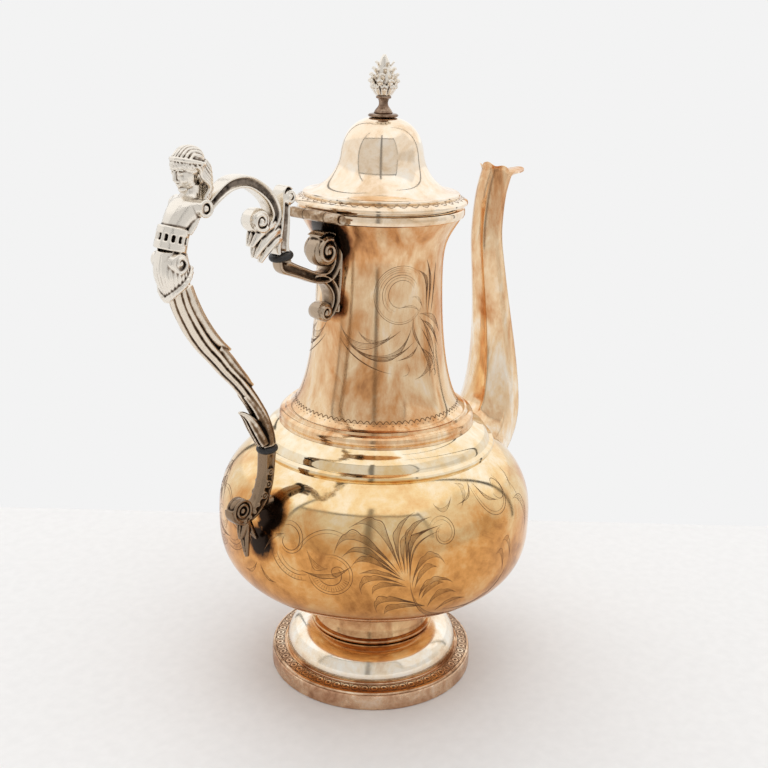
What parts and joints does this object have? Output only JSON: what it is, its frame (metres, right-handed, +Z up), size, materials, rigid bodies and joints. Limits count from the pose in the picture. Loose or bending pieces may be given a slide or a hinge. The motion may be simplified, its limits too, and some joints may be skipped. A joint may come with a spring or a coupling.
{
  "type": "coffee pot",
  "caption": "Bulbous metal coffee pot on a spun foot, with a hinged domed lid, a swan-neck spout and a cast figural handle held on black insulating rings.",
  "frame": {"origin": "on the table, on the pot's own turning axis", "axes": "+Z up along the turning axis, +X towards the spout, -X towards the handle and the lid's hinge"},
  "size_m": [0.206, 0.135, 0.2657],
  "materials": {
    "silver_plate": "worn silver plate with a warm tarnish",
    "cast_silver": "cast and chased, dark in the hollows",
    "cast_socket": "cast, oxidised brown",
    "insulator": "black, satin",
    "pin_metal": "plain pins and nut"
  },
  "bodies": {
    "pot": {"foot_band": "silver_plate", "foot_dome": "silver_plate", "foot_stem": "silver_plate", "bowl": "silver_plate", "shoulder": "silver_plate", "neck_ring": "silver_plate", "neck": "silver_plate", "mouth_band": "silver_plate", "hinge_pot_leaf": "silver_plate", "hinge_pin": "pin_metal", "spout": "silver_plate", "spout_lip": "cast_silver", "upper_socket": "cast_socket", "lower_socket": "cast_socket", "upper_insulator": "insulator", "lower_insulator": "insulator", "upper_rivets": "pin_metal", "lower_rivets": "pin_metal", "handle_scroll": "cast_silver", "handle_figure": "cast_silver", "handle_tail": "cast_silver"},
    "lid": {"lid_border": "silver_plate", "lid_bell": "silver_plate", "lid_sleeve": "silver_plate", "finial_washer": "silver_plate", "finial_stem": "silver_plate", "finial_bud": "cast_silver", "finial_nut": "pin_metal", "hinge_lid_leaf": "silver_plate"}
  },
  "joints": [
    {"name": "lid_hinge", "type": "hinge", "parent": "pot", "child": "lid", "pos_m": [-0.0364, 0, 0.20596], "axis": [0, -1, 0], "range_deg": [0, 80]}
  ]
}
